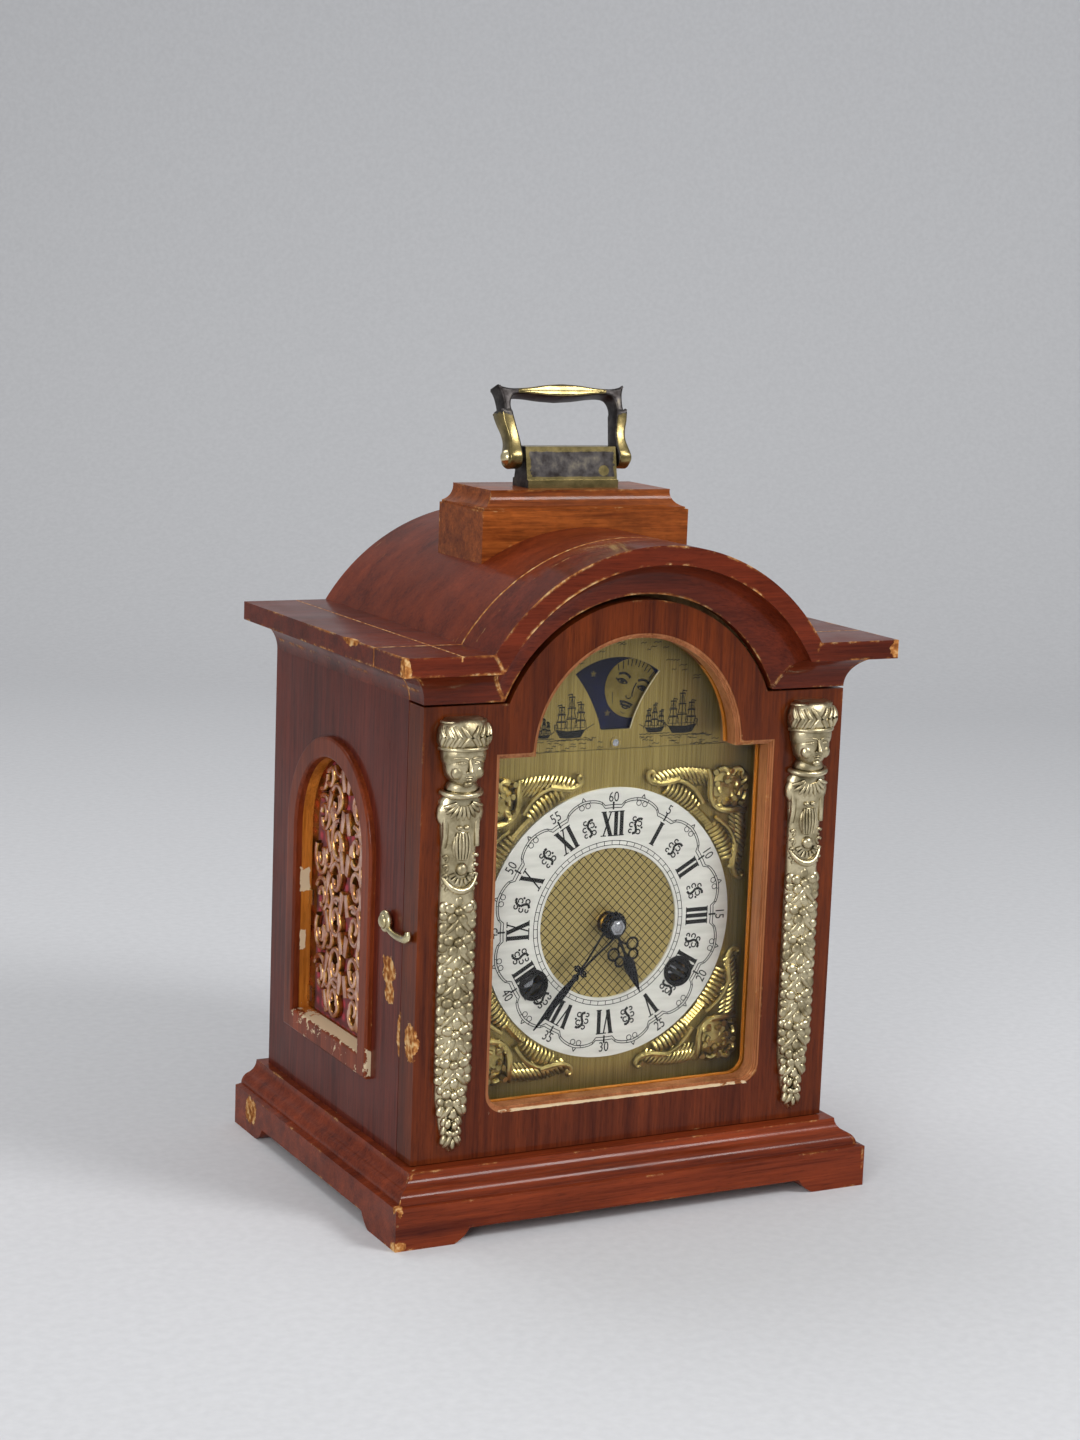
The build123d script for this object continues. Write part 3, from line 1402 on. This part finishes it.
def second_wheel():
    body = arbor(second_x, second_z)
    body += wheel(second_x, second_z, leaf_teeth, barrel_module, second_pinion_phase,
                  barrel_back_y - pinion_over, barrel_gear_t + 2 * pinion_over, cross=False)
    return body + wheel(second_x, second_z, second_teeth, second_module, 0, second_wheel_y, wheel_t,
                        arbor_r)


def centre_wheel():
    body = rod(dial_x, dial_z, centre_arbor_r, minute_hand_y + hand_t, plate_back_y - end_shake)
    body += rod(dial_x, dial_z, pivot_r, plate_back_y - end_shake, plate_back_back_y)
    body += wheel(dial_x, dial_z, centre_teeth, centre_module, 0, centre_wheel_y, wheel_t,
                  centre_arbor_r)
    return body + wheel(dial_x, dial_z, leaf_teeth, second_module, centre_pinion_phase,
                        second_wheel_y - pinion_over, wheel_t + 2 * pinion_over, cross=False)


def third_wheel():
    body = arbor(third_x, third_z)
    body += wheel(third_x, third_z, leaf_teeth, centre_module, third_pinion_phase,
                  centre_wheel_y - pinion_over, wheel_t + 2 * pinion_over, cross=False)
    return body + wheel(third_x, third_z, third_teeth, third_module, 0, third_wheel_y, wheel_t, arbor_r)


def escape_wheel():
    """The arbor runs through the back plate to the escape wheel behind it."""
    body = rod(escape_x, escape_z, pivot_r, plate_front_y, plate_front_back_y + end_shake)
    body += rod(escape_x, escape_z, arbor_r, plate_front_back_y + end_shake, cock_y - end_shake)
    body += rod(escape_x, escape_z, pivot_r, cock_y - end_shake, cock_y + cock_t)
    body += wheel(escape_x, escape_z, leaf_teeth, third_module, escape_pinion_phase,
                  third_wheel_y - pinion_over, wheel_t + 2 * pinion_over, cross=False)
    points = []
    for tooth in range(escape_teeth):
        angle = 360 * (tooth + 0.5) / escape_teeth
        points.append(beyond(angle, escape_x, escape_z, escape_r))
        points.append(beyond(angle + 90 / escape_teeth, escape_x, escape_z, escape_r - escape_depth))
        points.append(beyond(angle + 270 / escape_teeth, escape_x, escape_z, escape_r - escape_depth))
    return body + slab(Polygon(*points, align=None), escape_y, escape_y + wheel_t)


def pallet_lever():
    """Lever with two pallet arms, kept just clear of the escape teeth."""
    body = rod(pallet_x, escape_z, pivot_r, plate_back_y, escape_y)
    body += rod(pallet_x, escape_z, pivot_r, escape_y + wheel_t, cock_y + cock_t)
    shape = disc(pallet_x, escape_z, pallet_w)
    shape += area(pallet_x - pallet_w / 2, pallet_x + pallet_w / 2, escape_z - pallet_l, escape_z + pallet_l)
    shape += area(pallet_x, pallet_x + pallet_l, escape_z - pallet_w / 2, escape_z + pallet_w / 2)
    return body + slab(shape, escape_y, escape_y + wheel_t)


def balance_wheel():
    body = rod(balance_x, balance_z, pivot_r, plate_back_y, cock_y + cock_t)
    ring = Circle(balance_r) - Circle(balance_r - balance_rim)
    ring += Rectangle(balance_r * 2 - balance_rim, balance_rim)
    return body + slab(Pos(balance_x, balance_z) * ring, balance_y, balance_y + balance_t)


def balance_cock():
    x_low = escape_x - cock_edge
    x_high = balance_x + cock_edge
    post_z = balance_z + cock_post_rise
    outline = area(x_low, x_high, balance_z - cock_edge, post_z + cock_post_r)
    for x in (escape_x, pallet_x, balance_x):
        outline -= disc(x, balance_z, pivot_r + running_gap)
    cock = slab(outline, cock_y, cock_y + cock_t)
    for x in (x_low + cock_post_r, balance_x):
        cock += rod(x, post_z, cock_post_r, plate_back_back_y, cock_y)
    return cock


def pin_wheel():
    body = arbor(pin_x, pin_z)
    body += wheel(pin_x, pin_z, leaf_teeth, barrel_module, pin_pinion_phase,
                  barrel_back_y - pinion_over, barrel_gear_t + 2 * pinion_over, cross=False)
    root_r = pin_wheel_teeth * pin_wheel_module / 2
    body += wheel(pin_x, pin_z, pin_wheel_teeth, pin_wheel_module, 0, second_wheel_y, wheel_t,
                  arbor_r, cross=False)
    for pin in range(pin_count):
        x, z = beyond(360 * pin / pin_count, pin_x, pin_z, root_r * pin_orbit_share)
        body += rod(x, z, pin_r, second_wheel_y + wheel_t, second_wheel_y + wheel_t + pin_l)
    return body


def hammer():
    """Strike hammer: a tail by the pins, and an arm behind the back plate up to the bell."""
    body = rod(hammer_x, hammer_z, hammer_arbor_r, plate_front_back_y + end_shake, hammer_arm_y)
    body += rod(hammer_x, hammer_z, pivot_r, plate_front_y, plate_front_back_y + end_shake)
    orbit = pin_wheel_teeth * pin_wheel_module / 2 * pin_orbit_share + pin_r + hammer_tail_gap
    tail = hypot(hammer_x - pin_x, hammer_z - pin_z) - orbit
    toward = bearing(hammer_x, hammer_z, pin_x, pin_z)
    tail_y = second_wheel_y + wheel_t + running_gap * 4
    shape = disc(hammer_x, hammer_z, hammer_tail_w)
    shape += Pos(hammer_x, hammer_z) * Rot(0, 0, toward) * Pos(tail / 2, 0) * Rectangle(tail, hammer_tail_w)
    body += slab(shape, tail_y, tail_y + wheel_t)
    head_y = hammer_arm_y + hammer_arm_t / 2
    bell_x = -sqrt(bell_r ** 2 - (bell_y - head_y - hammer_head_r) ** 2)
    head_z = bell_rim_z + hammer_head_r
    head_low_x = bell_x - bell_gap - hammer_head_l
    arm_x = head_low_x + hammer_head_l / 3
    arm = Polygon((hammer_x - hammer_arm_w, hammer_z - hammer_arm_w),
                  (hammer_x + hammer_arm_w, hammer_z - hammer_arm_w),
                  (arm_x + hammer_arm_w / 2, head_z), (arm_x - hammer_arm_w / 2, head_z), align=None)
    body += slab(arm, hammer_arm_y, hammer_arm_y + hammer_arm_t)
    return body + cross_rod(head_y, head_z, hammer_head_r, head_low_x, bell_x - bell_gap)


def bell():
    """Turned shell with a small flat crown that the nut holds."""
    shell_top = bell_rim_z + bell_h
    crown_r = bell_r * bell_crown_share
    waist_share, rise_share = bell_waist_shares
    inner_r = bell_r - bell_wall
    outer = ThreePointArc((bell_r, bell_rim_z), (bell_r * waist_share, bell_rim_z + bell_h * rise_share),
                          (crown_r, shell_top))
    inner_waist = (bell_r * waist_share - bell_wall, bell_rim_z + bell_h * rise_share - bell_wall / 2)
    inner = ThreePointArc((inner_r, bell_rim_z), inner_waist, (crown_r, shell_top - bell_wall))
    crown = Polyline((crown_r, shell_top), (bell_post_r, shell_top), (bell_post_r, shell_top - bell_wall),
                     (crown_r, shell_top - bell_wall))
    rim = Line((inner_r, bell_rim_z), (bell_r, bell_rim_z))
    shell = revolve(Plane.XZ * make_face([outer, *crown.edges(), inner, rim]), Axis.Z)
    return Pos(0, bell_y, 0) * shell


def bell_stand():
    shell_top = bell_rim_z + bell_h
    half_w = bell_arm_w / 2
    foot = block(-half_w, half_w, plate_back_back_y, plate_back_back_y + bell_foot_t,
                 bell_arm_z - bell_foot_h / 2, bell_arm_z + bell_foot_h / 2)
    arm = block(-half_w, half_w, plate_back_back_y, bell_y + half_w, bell_arm_z, bell_arm_z + bell_arm_h)
    post = Pos(0, bell_y, 0) * flat_slab(Circle(bell_post_r), bell_arm_z, shell_top + bell_nut_t)
    seat = Pos(0, bell_y, 0) * flat_slab(Circle(bell_nut_r), shell_top - bell_wall - bell_nut_t,
                                         shell_top - bell_wall)
    nut = Pos(0, bell_y, 0) * flat_slab(RegularPolygon(bell_nut_r, 6), shell_top, shell_top + bell_nut_t)
    return foot + arm + post + seat + nut


def build_case():
    save("plinth_mouldings", *plinth_mouldings())
    save("base_board", base_board())
    save("left_side_panel", left_side_panel())
    save("right_side_panel", right_side_panel())
    bead = right_window_bead()
    save("window_beads", bead, mirrored(bead))
    fret = right_fret(fret_sketch())
    save("frets", fret, mirrored(fret))
    save("fret_cloths", right_cloth(), mirrored(right_cloth()))
    save("fret_clips", *right_clips(), *[mirrored(clip) for clip in right_clips()])
    save("dial_frame", dial_frame())
    save("back_frame", back_frame())
    save("cornice_arch", cornice_arch())
    left = left_cornice_mouldings()
    save("cornice_mouldings", *left, *[mirrored(piece) for piece in left])
    save("top_boards", right_top_board(), mirrored(right_top_board()))
    save("roof_barrel", roof_barrel())
    save("handle_pedestal", handle_pedestal())
    save("handle_base", handle_base())
    save("handle_screws", *handle_screws())
    save("carry_handle", carry_handle())


def build_doors():
    save("door_panel", door_panel())
    save("door_glass", door_glass())
    save("glass_beads", glass_beads())
    save("figure_mounts", figure_mount(), mirrored(figure_mount()))
    fixed = []
    moving = []
    for z in (door_hinge_low_z, door_hinge_high_z):
        case_leaf, door_leaf = butt_hinge(z)
        fixed.append(case_leaf)
        moving.append(door_leaf)
    back_moving = []
    for z in (back_hinge_low_z, back_hinge_high_z):
        case_leaf, door_leaf = surface_hinge(z)
        fixed.append(case_leaf)
        back_moving.append(door_leaf)
    save("door_hinge_leaves", *moving)
    save("case_hinge_leaves", *fixed)
    save("catch_pin", catch_pin())
    save("door_hook", door_hook())
    save("hook_screw", hook_screw())
    save("back_door", back_door())
    save("back_door_fittings", back_knob(), *back_moving)


def build_dial():
    save("dial_plate", dial_plate())
    save("arch_plate", arch_plate())
    save("chapter_ring", chapter_ring())
    save("winding_grommets", *winding_grommets())
    upper = spandrel(True)
    lower = spandrel(False)
    save("spandrels", upper, lower, mirrored(upper), mirrored(lower))
    save("moon_disc", moon_disc())
    save("moon_driver", moon_driver())
    save("minute_hand", minute_hand())
    save("hour_hand", hour_hand())
    save("hand_nut", hand_nut())
    save("cannon_pinion", cannon_pinion())
    save("minute_wheel", minute_wheel())
    save("hour_wheel", hour_wheel())


def build_movement():
    save("front_plate", front_plate())
    save("back_plate", back_plate())
    save("plate_pillars", *plate_pillars())
    save("going_barrel", spring_barrel(winding_x, going_phase))
    save("strike_barrel", spring_barrel(-winding_x, going_phase))
    save("going_arbor", winding_arbor(winding_x))
    save("strike_arbor", winding_arbor(-winding_x))
    save("second_wheel", second_wheel())
    save("centre_wheel", centre_wheel())
    save("third_wheel", third_wheel())
    save("escape_wheel", escape_wheel())
    save("pallet_lever", pallet_lever())
    save("balance_wheel", balance_wheel())
    save("balance_cock", balance_cock())
    save("pin_wheel", pin_wheel())
    save("hammer", hammer())
    save("bell", bell())
    save("bell_stand", bell_stand())


os.makedirs("parts", exist_ok=True)
build_case()
build_doors()
build_dial()
build_movement()
